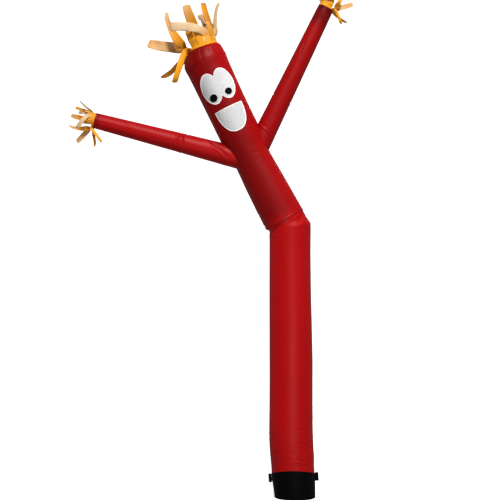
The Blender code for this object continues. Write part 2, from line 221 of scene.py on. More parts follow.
# A shader with helpers that add nodes and link them
class Shader:
    def __init__(self, name, colour, rough, gloss=None):
        self.material = bpy.data.materials.new(name)
        self.material.use_nodes = True
        self.tree = self.material.node_tree
        self.bsdf = self.tree.nodes["Principled BSDF"]
        self.bsdf.inputs["Base Color"].default_value = (*colour, 1.0)
        self.bsdf.inputs["Roughness"].default_value = rough
        if gloss:
            self.bsdf.inputs["IOR"].default_value = gloss

    # Adds a node: values set its properties or sockets, and _0, _1 and so on link its sockets
    def add(self, kind, values=(), out=0, **links):
        node = self.tree.nodes.new("ShaderNode" + kind)
        for key, value in dict(values).items():
            if isinstance(key, str) and hasattr(node, key):
                setattr(node, key, value)
            else:
                node.inputs[key].default_value = value
        for key, socket in links.items():
            self.tree.links.new(socket, node.inputs[int(key[1:])])
        return node.outputs[out]

    # A calculation with two sockets, or with one and a fixed power
    def maths(self, operation, first, second=None, power=0.5):
        links = {"_0": first} if second is None else {"_0": first, "_1": second}
        return self.add("Math", {"operation": operation, 1: power}, **links)

    def link(self, socket, name):
        self.tree.links.new(socket, self.bsdf.inputs[name])


# Cloth: its colour scaled by tone (on several pieces painted shade and light), a soft cloud and a
# grain;
# threads stand up in a square net, with fine creases between them
def clothMaterial(name, colour, rough, pitch, relief, crush, gloss, grain=0.0, pale=None):
    shader = Shader(name, colour, rough, gloss)
    flat = shader.add("UVMap", {"uv_map": "flat"})
    tone = shader.add("Attribute", {"attribute_name": "tone"}, "Fac")
    place = shader.add("TexCoord", out="Object")
    cloud = shader.add("TexNoise", {"Scale": 2.3, "Detail": 4.0}, _0=place)
    swing = {3: 1 - weave["cloud"], 4: 1 + weave["cloud"]}
    shade = shader.maths("MULTIPLY", tone, shader.add("MapRange", swing, _0=cloud))
    if grain:
        fleck = shader.add("TexNoise", {"Scale": 55.0, "Detail": 3.0}, _0=place)
        swing = {1: 0.3, 2: 0.7, 3: 1 - grain, 4: 1 + grain}
        shade = shader.maths("MULTIPLY", shade, shader.add("MapRange", swing, _0=fleck))
    mix = {"_7": shader.add("CombineColor", _0=shade, _1=shade, _2=shade)}
    if pale:
        share = shader.add("Attribute", {"attribute_name": "pale"}, "Fac")
        mix["_6"] = shader.add("Mix", {"data_type": "RGBA", 6: (*colour, 1.0),
                                       7: (*pale, 1.0)}, 2, _0=share)
    shader.link(shader.add("Mix", {"data_type": "RGBA", "blend_type": "MULTIPLY", 0: 1.0,
                                   6: (*colour, 1.0)}, 2, **mix), "Base Color")
    net = []
    for way in ("X", "Y"):
        wave = {"bands_direction": way, "Scale": weave["waveScale"] / pitch}
        wave = shader.add("TexWave", wave, "Fac", _0=flat)
        net.append(shader.maths("POWER", wave, power=weave["narrow"]))
    net = shader.maths("MAXIMUM", *net)
    small = {"Scale": 16.0, "Detail": 5.0, "Roughness": 0.6, "Distortion": 0.6}
    small = shader.add("TexNoise", small, _0=place)
    low = shader.add("Bump", {"Strength": 1.0, "Distance": crush}, _2=small)
    high = shader.add("Bump", {"Strength": 0.35, "Distance": relief}, _2=net, _3=low)
    shader.link(high, "Normal")
    return shader.material


# Thread: one colour with a fine twist
def threadMaterial(name, colour):
    shader = Shader(name, colour, 0.6, 1.2)
    place = shader.add("TexCoord", out="Object")
    twist = shader.add("TexNoise", {"Scale": 900.0}, _0=place)
    shader.link(shader.add("Bump", {"Strength": 0.3, "Distance": 0.0003}, _2=twist),
                "Normal")
    return shader.material


# All cloth: the cloud's swing, a wave texture's scale for a pitch of one metre, and the power
# that narrows its bands to threads
weave = {"cloud": 0.08, "waveScale": 0.314, "narrow": 6.0}
# colour, roughness, thread pitch and relief, crease relief, refraction, grain, pale side
finishes = {
    "redNylon": ((0.335, 0.0012, 0.002), 0.46, 0.006, 0.0004, 0.0035, 1.21),
    "orangeNylon": ((0.7, 0.275, 0.011), 0.55, 0.006, 0.0003, 0.003, 1.2, 0.0,
                    (0.6, 0.41, 0.24)),
    "whiteCloth": ((0.84, 0.84, 0.84), 0.65, 0.003, 0.0002, 0.0012, 1.2, 0.1),
    "blackCloth": ((0.0018, 0.0018, 0.002), 0.6, 0.003, 0.0002, 0.001, 1.1),
    "blackNylon": ((0.0014, 0.0012, 0.0013), 0.5, 0.005, 0.0003, 0.003, 1.12),
    "webbing": ((0.0014, 0.0012, 0.0013), 0.55, 0.0035, 0.001, 0.0005, 1.12),
}
cloths = {name: clothMaterial(name, *finish) for name, finish in finishes.items()}
threads = {name: threadMaterial(name, colour) for name, colour in (
    ("redThread", (0.22, 0.003, 0.004)), ("whiteThread", (0.86, 0.86, 0.86)),
    ("blackThread", (0.004, 0.004, 0.004)))}
print("stage: materials,", len(cloths) + len(threads))


# Places shared with the solids, in metres
foot = {"drift": -0.072, "leg": 0.2425}
seam = {"height": 0.225, "rise": 0.06, "drop": 0.02, "lap": 0.018}
axis = {"from": np.array((-0.1159, 3.1174)), "to": np.array((-1.017, 4.9174)), "bow": 0.018}
axisLength = float(np.linalg.norm(axis["to"] - axis["from"]))
ahead = (axis["to"] - axis["from"]) / axisLength
across = np.array((ahead[1], -ahead[0]))


# A place on the body's bowed axis: straight run plus a bow that is widest halfway
def axisPoint(s, aside=0.0):
    q = s / axisLength
    out = aside - axis["bow"] * 4 * q * (1 - q)
    start = axis["from"]
    return start[0] + s * ahead[0] + out * across[0], start[1] + s * ahead[1] + out * across[1]


# How far the axis leans to the left there: its straight lean plus the bow's slope
def axisLean(s):
    slope = axis["bow"] * 4 * (1 - 2 * s / axisLength) / axisLength
    return math.atan2(-ahead[0], ahead[1]) + np.arctan(slope)


# A point of a round section that leans: width in the front plane, depth to the front
def ringPoint(cx, cz, lean, half, deep, a, out=0.0):
    flat = (half + out) * np.cos(a)
    return stacked(cx + flat * np.cos(lean), (deep + out) * np.sin(a), cz + flat * np.sin(lean))


# The height of the leg and cuff's seam: a base, a rise in front and a smaller drop behind
def seamLine(a, off=0.0):
    f = -np.sin(a)
    even, uneven = (seam["rise"] + seam["drop"]) / 2, (seam["rise"] - seam["drop"]) / 2
    return seam["height"] + even * f + uneven * f * f + off


# A section of the foot about its drifting axis
def footPoint(z, a, radius, out=0.0):
    return ringPoint(foot["drift"] * z, z, 0.0, radius, radius, a, out)


# The angles of a ring's columns: one full turn in equal steps
def turnOf(columns):
    return np.arange(columns)[None, :] * 2 * math.pi / columns


# Gathers: narrow pleats round a tube, unevenly spaced and sized
def gathers(a, count, seed, depth):
    rng = np.random.default_rng(seed)
    bent = a + 0.5 / count * np.sin(5 * a + rng.uniform(0, 6))
    bent = bent + 0.4 / count * np.sin(11 * a + rng.uniform(0, 6))
    size = np.sin(3 * a + rng.uniform(0, 6)) * np.sin(7 * a + rng.uniform(0, 6))
    return -depth * (0.65 + 0.35 * size) * (1 - np.abs(np.sin(bent * count / 2)) ** 0.7)


backRidge = {"high": 0.0022, "half": 0.007}


# The sewn ridge down a tube's back: a swell with a flat top and steep sides
def sewnRidge(a, radius):
    behind = np.abs(wrapped(a - math.pi / 2)) * radius
    return backRidge["high"] * np.exp(-(behind / backRidge["half"]) ** 4)


# A sewn tube as a piece that takes its solid's place
def clothPiece(name, points, flat, tone, material, slot, cut, keep=None, **more):
    faces = gridFaces(*points.shape[:2])
    if keep is not None:
        faces = faces[keep.reshape(-1)[faces].all(axis=1)]
    obj = makeMesh(name + "Cloth", points, faces, flat, tone, material)
    fitPiece(obj, slot, name, flat=cut, held="stretched", **more)


# The leg: sections by height, then the mitre fold, the tuck and the lap under the body
leg = {
    "columns": 224, "step": 0.01, "fineStep": 0.0035, "gathers": 26, "gatherDepth": 0.004,
    "foot": 0.37, "footRows": 22, "fineFrom": 2.85, "top": 3.132, "cut": (1.53, 2.95),
    "corner": 0.05, "fineCorner": 0.004, "radius": 0.245, "backRadius": 0.24, "mapRadius": 0.243,
    # heights between which the gathers and the folds come in, the gathers end, the tuck flattens
    "gatherIn": (0.26, 0.33), "foldIn": (0.34, 0.4), "gatherOut": (0.3, 0.47),
    "tuck": (3.08, 3.12), "tuckFlat": 0.8,
    # painted light on the leg's left side, a lighter tone: turn, width, amount, and the heights it
    # comes in between
    "paintedFlankLight": (205, 0.5, 0.3), "paintedFlankLightIn": (0.45, 1.1), "cloud": ((0.05, 2, 5, (1, 2, 3), 1.0),),
    "waves": ((0.0016, 3.1, 4, (1, 2, 3, 5), 1.5), (0.0007, 9.0, 9, (4, 7, 9), 1.5)),
    "height": (0.37, 0.44, 0.54, 0.64, 0.76, 1.09, 1.54, 1.99, 2.44, 2.75, 2.891,
               3.0331, 3.075, 3.1154, 3.132),
    "shift": (-0.0266, -0.029, -0.0377, -0.0422, -0.046, -0.045, -0.0444, -0.0489, -0.0546,
              -0.0566, -0.0563, -0.0557, -0.0848, -0.115, -0.1234),
    "riseTop": (3.0743, 3.1156, 3.1305),  # the rest of the rises are the heights
    "width": (0.485, 0.4939, 0.4935, 0.4955, 0.4916, 0.4883, 0.4849, 0.4759, 0.4669, 0.4626,
              0.4635, 0.4739, 0.447, 0.464, 0.464),
    "depthTop": (0.4655, 0.443, 0.462, 0.464),  # the rest of the depths are the widths
    "lean": (0,) * 11 + (12.6, 20.6, 28.6, 28.6),
    # place up the leg, turn, half run, half width, depth, tilt: in millimetres and degrees
    "folds": (
        (763, 293, 55, 9, -5, -17), (726, 311, 55, 9, -4, -8),
        (592, 303, 100, 9, -5.5, -20), (560, 322, 60, 10, -4, -26),
        (420, 290, 60, 9, -5, -17), (394, 314, 45, 9, -4, -17),
        (500, 262, 45, 10, -2.5, -24), (455, 238, 55, 12, 2.5, 20),
        (520, 205, 75, 12, 4.5, 10), (680, 190, 60, 11, 3.5, -20),
        (540, 30, 80, 12, 5.5, 8), (470, 75, 70, 12, 5, -10),
        (610, 120, 80, 12, 5, 14), (900, 330, 60, 12, 3, -30),
        (3104, 305, 70, 10, -4.5, 6), (3062, 316, 85, 13, -3.2, 20),
        (2960, 334, 60, 12, 3, 34), (2985, 20, 80, 13, 6, -20),
        (2930, 215, 60, 12, 2.5, -6), (2850, 165, 65, 14, 2, 10),
        (2960, 145, 80, 14, 3, 12), (2700, 225, 60, 14, 2, 16),
        (1840, 325, 80, 16, 2, 70), (1300, 215, 90, 16, 2, 76),
    ),
}
legTurn = turnOf(leg["columns"])
legRise = np.concatenate((np.arange(leg["foot"], leg["fineFrom"], leg["step"]),
                          np.arange(leg["fineFrom"], leg["top"], leg["fineStep"])))[:, None]


# A table's straight runs with their corners rounded: the mean of seven places round each
def rounded(x, xs, ys, run):
    places = (-1, -0.6, -0.25, 0, 0.25, 0.6, 1)
    return sum(np.interp(x + run * place, xs, ys) for place in places) / len(places)


# The leg's relief: soft waves, folds, gathers over the strap and the sewn ridge
def legOut(z, a):
    out = ripples(z, a, leg["waves"])
    out += folds(z, a, leg["radius"], leg["folds"]) * ease(z, *leg["foldIn"])
    low, high = leg["gatherOut"]
    fade = 1 - ease(z, low, high + 0.05 * np.sin(3 * a + 1) + 0.03 * np.sin(8 * a))
    pleats = gathers(a, leg["gathers"], 21, leg["gatherDepth"])
    out += pleats * fade * ease(z, *leg["gatherIn"])
    out += sewnRidge(a, leg["backRadius"])
    return out * (1 - ease(z, *leg["tuck"]) * leg["tuckFlat"])


cornerRun = np.where(legRise < leg["fineFrom"], leg["corner"], leg["fineCorner"])
rises = leg["height"][:-3] + leg["riseTop"]
depths = leg["width"][:-4] + leg["depthTop"]
shift, rise, lean, width, depth = [
    rounded(legRise, leg["height"], table, cornerRun)
    for table in (leg["shift"], rises, leg["lean"], leg["width"], depths)]
shaft = ringPoint(shift, rise, np.radians(lean), width / 2, depth / 2, legTurn,
                  legOut(legRise, legTurn))
lift = np.linspace(0.0, 1.0, leg["footRows"])[:-1, None]
legFoot = seamLine(legTurn, -seam["lap"]) * (1 - lift) + leg["foot"] * lift
bottom = footPoint(legFoot, legTurn, foot["leg"], legOut(legFoot, legTurn))
legPoints = np.concatenate((bottom, shaft))
legHeights = np.concatenate((legFoot, np.broadcast_to(legRise, (len(legRise), leg["columns"]))))
legFlat = stacked(legTurn * leg["mapRadius"], legHeights)
legToneAndShading = 1.0 + ripples(legHeights, legTurn, leg["cloud"])
# painted shade in the folds' troughs and painted light on their ridges
legToneAndShading += paintedCreaseShading(legHeights, legTurn, leg["radius"], leg["folds"])
# painted light: the leg's left side lighter
turn, width, amount = leg["paintedFlankLight"]
legToneAndShading *= 1 + amount * nearTurn(legTurn, turn, width) * ease(legHeights, *leg["paintedFlankLightIn"])
clothPiece("leg_tube", legPoints, legFlat, legToneAndShading, cloths["redNylon"], "red_nylon", leg["cut"],
           rests_on=["cuff"])
print("stage: leg,", len(legPoints), "rows")

# The body: widths by distance along the axis, then the gathered top of the head
body = {
    "columns": 208, "step": 0.0095, "fineStep": 0.0035, "gathers": 15, "gatherDepth": 0.009,
    "fineTo": 0.05, "fineFrom": 1.96, "top": 2.138, "cut": (1.46, 2.14),
    "radius": 0.232, "backRadius": 0.235,
    # the gathers begin and end here, deepest at this turn; the waist's and the vent's calm runs
    "gatherFrom": 1.96, "gatherTo": 2.09, "gatherTurn": 205, "calmWaist": 0.06,
    "calmVent": (2.11, 2.138), "hem": (0.0022, 0.017, 0.021), "hemGroove": (0.0008, 0.0215, 0.003),
    # tones: painted shade at the hem's edge; then painted shade on a darker side, as turn, width
    # and amount, and where it comes in: the torso's front left, then the crown's gathered left
    "edgeDark": (0.45, 0.005), "shade": (253, 1.0, 0.47), "shadeIn": (-0.05, 0.15),
    "crown": (228, 0.5, 0.24), "crownIn": (1.97, 2.08), "cloud": ((0.05, 2, 15, (1, 2, 3), 1.0),),
    "waves": ((0.0015, 3.3, 14, (1, 2, 3, 4), 1.4), (0.0006, 9.0, 19, (5, 7, 9), 1.4)),
    "along": (0.0, 0.25, 0.5, 0.7, 0.8, 0.9, 1.0, 1.107, 1.3, 1.5, 1.7, 1.887, 2.025, 2.08,
              2.12, 2.138),
    "width": (0.4725, 0.4624, 0.4455, 0.427, 0.4215, 0.43, 0.45, 0.464, 0.466, 0.4685,
              0.4742, 0.4815, 0.485, 0.448, 0.398, 0.353),
    "shiftAt": (2.025, 2.08, 2.12, 2.138), "shift": (0.0, 0.014, 0.03, 0.038), "ventTurn": -4.5,
    # the same, with the place along the axis
    "folds": (
        (60, 312, 60, 14, 1.5, 40), (75, 250, 80, 16, 1.5, -14),
        (120, 195, 90, 16, 3, -24), (50, 172, 70, 14, 3.5, -8),
        (190, 185, 80, 15, 4, 12), (100, 20, 90, 15, 4.5, 22),
        (330, 215, 90, 18, 1.4, 48), (460, 330, 90, 18, 1.5, 60),
        (560, 195, 80, 16, 2.5, -38), (500, 225, 80, 18, 1.5, -56),
        (960, 205, 75, 16, 3, 40), (1000, 235, 70, 18, 1.6, 62),
        (930, 325, 80, 16, 2, -48), (600, 325, 80, 18, 1.8, 50),
        (1106, 306, 120, 9, -3.5, -8), (980, 348, 70, 14, 3, -20),
        (730, 268, 100, 20, 1.4, 8),
        (820, 285, 80, 18, 1.4, -14), (780, 90, 120, 17, 4, 5),
        (880, 60, 90, 15, 3.5, -22), (1200, 200, 70, 15, 2.8, 20),
        (1900, 200, 80, 18, 4.5, 64), (1955, 228, 75, 20, 5, 38),
        (1975, 252, 60, 18, 3, 20), (1940, 180, 85, 16, 4.5, 66),
        (1980, 320, 60, 16, 2.5, 150), (1900, 60, 80, 14, 4, 84),
    ),
}
bodyAlong = np.concatenate((np.arange(0.0, body["fineTo"], body["fineStep"]),
                            np.arange(body["fineTo"], body["fineFrom"], body["step"]),
                            np.arange(body["fineFrom"], body["top"], body["fineStep"]),
                            (body["top"],)))[:, None]


# The body's relief: the same, with gathers drawn in to the vent, most on the left
def bodyOut(s, a):
    out = ripples(s, a, body["waves"]) + folds(s, a, body["radius"], body["folds"])
    near = np.cos(a - math.radians(body["gatherTurn"]))
    start = body["gatherFrom"] - 0.05 * near + 0.02 * np.sin(9 * a)
    pleats = gathers(a, body["gathers"], 31, body["gatherDepth"]) * (0.75 + 0.45 * near)
    out += pleats * ease(s, start, body["gatherTo"]) + sewnRidge(a, body["backRadius"])
    out = out * ease(s, 0.0, body["calmWaist"]) * (1 - 0.85 * ease(s, *body["calmVent"]))
    high, low, top = body["hem"]
    deep, middle, width = body["hemGroove"]
    return out + high * (1 - ease(s, low, top)) - deep * np.exp(-((s - middle) / width) ** 2)


# A point of the body's cloth, lifted off it by the given amount
def bodyPoint(s, a, over=0.0):
    half = smooth(s, body["along"], body["width"]) / 2
    cx, cz = axisPoint(s, smooth(s, body["shiftAt"], body["shift"]))
    crown = (s - body["shiftAt"][0]) / (body["top"] - body["shiftAt"][0])
    turn = math.radians(body["ventTurn"]) * np.clip(crown, 0, 1)
    return ringPoint(cx, cz, axisLean(s) + turn, half, half, a, over + bodyOut(s, a))


# How far a point lies outside the plain body, from its nearest place on the axis
def outside(point):
    s = (point[..., 0] - axis["from"][0]) * ahead[0] + (point[..., 2] - axis["from"][1]) * ahead[1]
    cx, cz = axisPoint(s)
    aside = (point[..., 0] - cx) * across[0] + (point[..., 2] - cz) * across[1]
    return np.hypot(aside, point[..., 1]) - smooth(s, body["along"], body["width"]) / 2


# What both arms share
sleeve = {
    "rows": 290, "columns": 120, "radius": 0.11, "gathers": 15, "gatherDepth": 0.004,
    # from the hand's end: where gathers begin and end, where the darker band near the hand's end
    # does
    "gatherEnd": (0.075, 0.004), "hemEnd": (0.075, 0.028), "endBandDark": 0.4,
    "pinch": (-0.0015, 0.97, 1.0), "reliefIn": (0.16, 0.24), "sunk": 0.0015, "lap": 0.012,
    # the root fade and the end fade: where the painted shade on the sleeve's top near its root
    # fades out, and where the painted shade near the hand's end comes in
    "rootShadeFade": (0.34, 0.62), "endShadeFade": (0.84, 0.93), "halvings": 26, "between": (0.02, 0.34),
}
arms = {
    "arm_left": {
        "root": (-0.459, 0.0, 3.769), "end": (-2.241, -0.1, 4.2264), "wide": (0.2565, 0.174),
        # deep scales the sleeve's whole tone, lower on the right arm as painted shade; the end and
        # root amounts are painted shade near the hand's end and on the top near the root
        "cut": (0.68, 1.62), "seed": 41, "deep": 0.96, "paintedEndShade": 0.0, "paintedRootShade": 0.45,
        # the same, with the place along the arm
        "folds": (
            (890, 303, 90, 10, 8.5, -5), (840, 301, 85, 10, 8.5, 16),
            (800, 0, 60, 11, 5, 0), (810, 180, 60, 11, 4.5, 6),
            (470, 302, 170, 15, 6.5, 63), (360, 200, 80, 13, 4, 80),
            (1150, 250, 80, 14, 1.5, 88), (1450, 300, 70, 13, 1.5, 84),
            (1740, 265, 50, 12, 2, 92), (1760, 310, 40, 11, 2, 86),
            (1750, 220, 40, 11, 2, 96), (810, 90, 80, 11, 6, 2),
        ),
    },
    "arm_right": {
        "root": (-0.477, 0.0, 3.8053), "end": (0.3517, 0.08, 5.5158), "wide": (0.252, 0.18),
        "cut": (0.68, 1.68), "seed": 47, "deep": 0.76, "paintedEndShade": 0.5, "paintedRootShade": 0.0,
        "folds": (
            (352, 258, 120, 9.5, -4.5, -16), (325, 296, 70, 9, -4, -28),
            (400, 236, 55, 10, 2.5, -8), (500, 205, 70, 12, 3, 80),
            (330, 340, 60, 11, 3, 104), (560, 285, 80, 14, 1.5, 60),
            (640, 240, 60, 13, 1.8, 20), (980, 290, 80, 14, 1.5, 84),
            (760, 0, 70, 11, 4.5, 8), (760, 180, 70, 11, 4.5, -8),
            (1350, 250, 90, 12, 3, 96), (1780, 265, 60, 9, 4, 92),
            (1790, 220, 50, 9, 3.5, 86), (1780, 315, 50, 9, 3.5, 88),
        ),
    },
}


# An arm's root, end, way along it, side, back and length
def armFrame(arm):
    root, end = np.array(arm["root"]), np.array(arm["end"])
    along = unit(end - root)
    back = unit(backward - along[1] * along)
    return root, end, along, np.cross(back, along), back, float(np.linalg.norm(end - root))


# A point of a sleeve at a share of its length: a straight taper with folds and a gathered hand
def armPoint(arm, share, a, over=0.0):
    root, end, along, side, back, length = armFrame(arm)
    d = share * length
    out = ripples(d, a, ((0.001, 4.0, arm["seed"], (1, 2, 3, 4), 1.4),))
    out += folds(d, a, sleeve["radius"], arm["folds"])
    pleats = gathers(a, sleeve["gathers"], arm["seed"], sleeve["gatherDepth"])
    out += pleats * ease(d, *[length - inner for inner in sleeve["gatherEnd"]])
    pinch, low, high = sleeve["pinch"]
    radius = (arm["wide"][0] + share * (arm["wide"][1] - arm["wide"][0])) / 2
    radius = radius + (out + pinch * ease(share, low, high)) * ease(d, *sleeve["reliefIn"]) + over
    centre = root + share[..., None] * (end - root)
    return centre + radius[..., None] * (np.cos(a)[..., None] * side + np.sin(a)[..., None] * back)


# The share of the arm's length where each of its lines leaves the body, by halving
def armStart(arm, a, level):
    low, high = [np.full(a.shape, share) for share in sleeve["between"]]
    for _ in range(sleeve["halvings"]):
        mid = (low + high) / 2
        inside = outside(armPoint(arm, mid, a)) < level
        low, high = np.where(inside, mid, low), np.where(inside, high, mid)
    return high


bodyTurns, bodyAlongs = np.broadcast_arrays(turnOf(body["columns"]), bodyAlong)
bodyPoints = bodyPoint(bodyAlongs, bodyTurns)
keep = np.ones(bodyPoints.shape[:2], bool)  # the holes that the arms are sewn round
for arm in arms.values():
    armRoot, _, armWay, *_ = armFrame(arm)
    reach = (bodyPoints - armRoot) @ armWay
    away = np.linalg.norm(bodyPoints - armRoot - reach[..., None] * armWay, axis=-1)
    keep &= (reach < 0) | (away > arm["wide"][0] / 2 - sleeve["lap"])
bodyFlat = stacked(bodyTurns * body["radius"], bodyAlongs)
bodyToneAndShading = 1.0 + ripples(bodyAlongs, bodyTurns, body["cloud"])
# painted shade in the folds' troughs and painted light on their ridges
bodyToneAndShading += paintedCreaseShading(bodyAlongs, bodyTurns, body["radius"], body["folds"])
# painted shade: a dark band along the hem's edge
amount, edge = body["edgeDark"]
bodyToneAndShading -= amount * (1 - ease(bodyAlongs, 0.0, edge))
# painted shade: the torso's front left and the crown's gathered left darker
for key in ("shade", "crown"):
    turn, width, amount = body[key]
    near = nearTurn(bodyTurns, turn, width)
    bodyToneAndShading *= 1 - amount * near * ease(bodyAlongs, *body[key + "In"])
clothPiece("body_tube", bodyPoints, bodyFlat, bodyToneAndShading, cloths["redNylon"], "red_nylon",
           body["cut"], keep, rests_on=["leg_tube"])
print("stage: body,", len(bodyPoints), "rows")

sleeveTurns = np.broadcast_to(turnOf(sleeve["columns"]), (sleeve["rows"], sleeve["columns"]))
sleeveStep = np.linspace(0.0, 1.0, sleeve["rows"])[:, None]
for name, arm in arms.items():
    length = armFrame(arm)[5]
    start = armStart(arm, sleeveTurns[:1], -sleeve["sunk"])
    shares = start + (1 - start) * sleeveStep
    distance = shares * length
    tone = 1.0 + ripples(shares, sleeveTurns, ((0.04, 5, arm["seed"] + 1, (1, 2, 3), 1.0),))
    # painted shade in the folds' troughs and painted light on their ridges
    tone += paintedCreaseShading(distance, sleeveTurns, sleeve["radius"], arm["folds"])
    hemEnd = [1 - inner / length for inner in sleeve["hemEnd"]]
    tone -= sleeve["endBandDark"] * ease(shares, *hemEnd)
    # painted shade: the whole sleeve scaled by deep, darker near the hand's end, and darker on its
    # top near the root
    tone *= arm["deep"] * (1 - arm["paintedEndShade"] * ease(shares, *sleeve["endShadeFade"]))
    above = ease(np.cos(sleeveTurns - math.radians(10)), 0.0, 0.8)
    tone *= 1 - arm["paintedRootShade"] * above * (1 - ease(distance, *sleeve["rootShadeFade"]))
    clothPiece(name, armPoint(arm, shares, sleeveTurns),
               stacked(sleeveTurns * sleeve["radius"], distance), tone, cloths["redNylon"],
               "red_nylon", arm["cut"], rests_on=["body_tube"])
print("stage: arms")

# The cuff: a hem at its mouth, nearly straight, gathered under the strap
cuff = {
    "columns": 200, "rows": 60, "gathers": 30, "gatherDepth": 0.005, "mapRadius": 0.235,
    "heights": (0.0, 0.075, 0.165, 0.32), "radii": (0.2305, 0.2348, 0.2402, 0.2402),
    "gatherFrom": 0.03, "gatherTo": -0.06, "hemGroove": (0.0009, 0.014, 0.0015),
    "reliefIn": (-0.02, 0.01), "cut": (1.48, 0.25),
    "waves": ((0.0012, 12, 61, (2, 3, 5), 1.5),), "cloud": ((0.15, 8, 63, (1, 2, 3), 1.0),),
}
cuffTurn = turnOf(cuff["columns"])
cuffHeight = np.linspace(0.0, 1.0, cuff["rows"])[:, None] * seamLine(cuffTurn, seam["lap"])
cuffRadius = smooth(cuffHeight, cuff["heights"], cuff["radii"])
pleats = gathers(cuffTurn, cuff["gathers"], 62, cuff["gatherDepth"])
pleats = pleats * ease(cuffHeight, cuff["gatherFrom"], seamLine(cuffTurn, cuff["gatherTo"]))
deep, middle, width = cuff["hemGroove"]
cuffOut = ripples(cuffHeight, cuffTurn, cuff["waves"]) + pleats * (cuffHeight < seamLine(cuffTurn))
cuffOut -= deep * np.exp(-((cuffHeight - middle) / width) ** 2)
cuffOut *= ease(cuffHeight, *cuff["reliefIn"])
clothPiece("cuff", footPoint(cuffHeight, cuffTurn, cuffRadius, cuffOut),
           stacked(cuffTurn * cuff["mapRadius"], cuffHeight),
           1.0 + ripples(cuffHeight, cuffTurn, cuff["cloud"]), cloths["blackNylon"],
           "black_nylon", cuff["cut"])

# The strap: a webbing band with rounded edges and a rib along each
strap = {"columns": 220, "half": 0.046, "thick": 0.003, "radius": 0.2428, "mapRadius": 0.245,
         "edge": 0.84, "paintedEdgeHighlight": 0.25, "cut": (1.54, 0.092)}
strapTurn = turnOf(strap["columns"])
# its section in shares of the thickness and of the half width
profile = np.array([(0, -1), (0.55, -1), (0.85, -0.985), (1, -0.94), (1, -0.86), (0.82, -0.8)]
                   + [(1, level) for level in np.linspace(-0.74, 0.74, 13)]
                   + [(0.82, 0.8), (1, 0.86), (1, 0.94), (0.85, 0.985), (0.55, 1), (0, 1)])
outward, level = profile[:, :1], profile[:, 1:]
strapHeight = seamLine(strapTurn) + strap["half"] * level
strapPoints = footPoint(strapHeight, strapTurn, strap["radius"] + strap["thick"] * outward)
strapFlat = stacked(strapTurn * strap["mapRadius"], strapHeight - seamLine(strapTurn))
# painted highlight: the webbing's edge ribs lighter
strapPaintedHighlight = 1.0 + strap["paintedEdgeHighlight"] * (np.abs(level) > strap["edge"])
strapFaces = gridFaces(*strapPoints.shape[:2], looped=True)
fitPiece(makeMesh("strapWebbing", strapPoints, strapFaces, strapFlat, strapPaintedHighlight,
                  cloths["webbing"]),
         "black_webbing", "strap", flat=strap["cut"], held="stretched", rests_on=["leg_tube"])

# The tabs: webbing doubled over, its fold outside
tab = {"reach": 0.036, "tall": 0.097, "thick": 0.008, "root": 0.2461, "straight": 0.8,
       "rows": 30, "layers": 0.08, "at": {"tab_left": (-1, 0.214), "tab_right": (1, 0.233)}}
bulge = np.linspace(0, math.pi, 9)[1:-1]
run = np.linspace(0.0, tab["straight"], 10)
tabOut = np.concatenate((run, tab["straight"] + (1 - tab["straight"]) * np.sin(bulge), run[::-1]))
tabSide = np.concatenate((-np.ones(len(run)), -np.cos(bulge), np.ones(len(run))))
tabUp = np.linspace(-1, 1, tab["rows"])[:, None]
for name, (side, height) in tab["at"].items():
    z = height + tabUp * tab["tall"] / 2 * (1 - 0.03 * tabOut * tabUp * side)
    y = tab["thick"] / 2 * tabSide * (0.72 + 0.28 * tabOut)
    x = foot["drift"] * z + side * (tab["root"] + tab["reach"] * tabOut)
    points = stacked(x, y, z)
    flat = stacked(tabOut * tab["reach"] + (tabSide > 0) * tab["layers"], z)
    cap = capFaces(len(tabOut))
    faces = (gridFaces(*points.shape[:2]), cap, cap + (tab["rows"] - 1) * len(tabOut))
    fitPiece(makeMesh(name + "Webbing", points, np.concatenate(faces), flat, 1.0,
                      cloths["webbing"]), "black_webbing", name)
print("stage: cuff, strap and tabs")


# Each patch's middle across and along the axis, its half sizes and its rim
face = {
    "turns": 240, "rings": 40, "over": 0.0013, "rim": 0.009,
    "eyes": (-0.077, 0.085), "eyeAt": 1.658, "eyeHalf": (0.105, 0.179),
    "mouthAt": 0.008, "mouthTop": 1.402, "mouthDown": 0.12, "pupilOver": 0.0022,
    "mouthSize": (0.162, 0.288, 2.3),  # half width, depth, power
    "pupils": {"pupil_left": (-0.093, 1.557, 0.043), "pupil_right": (0.087, 1.556, 0.039)},
    "rimUp": 0.001, "edgeUp": 0.0009, "edgeTo": 0.0016, "groove": (0.0012, 0.002),
    # in widths of the rim: where its rise and its tone end, and where its seam runs
    "rimRamp": (0.7, 1.1), "toneRamp": (0.8, 1.2), "seamAt": 0.75,
    # the right-hand lightening is painted light and shade: each patch's inside darker to the left,
    # lighter to the right
    "crowding": 0.8, "slack": (14, 22, 71, 0.05), "paintedLightRight": 0.45,
    "stitch": (0.0052, 0.004, 0.0011, 0.0),  # pitch, length, width, lift
}


# A place on the head's front: the turn's cosine is the distance across over the half width
def onHead(aside, s, over):
    tilt = axisLean(s) - math.atan2(-ahead[0], ahead[1])
    place, flat = s - aside * np.sin(tilt), aside * np.cos(tilt)
    half = smooth(place, body["along"], body["width"]) / 2
    return bodyPoint(place, -np.arccos(np.clip(flat / half, -0.995, 0.995)), over)


# How far a ray goes before it leaves an oval beside it: the larger root of its quadratic
def ovalReach(turn, aside, halfWide, halfHigh):
    u, v, p = np.cos(turn) / halfWide, np.sin(turn) / halfHigh, aside / halfWide
    k, m = u * u + v * v, u * p
    return (m + np.sqrt(m * m - k * (p * p - 1))) / k


# How far a ray goes before it leaves the mouth, by halving: below its straight top both
# shares' powers add up to one
def mouthReach(turn, up):
    wide, deep, power = face["mouthSize"]
    low, high = np.zeros(turn.shape), np.full(turn.shape, 0.4)
    for _ in range(30):
        mid = (low + high) / 2
        x, y = mid * np.cos(turn), mid * np.sin(turn) - up
        inside = (y < 0) & (np.abs(x / wide) ** power + np.abs(y / deep) ** power < 1)
        low, high = np.where(inside, mid, low), np.where(inside, high, mid)
    return low


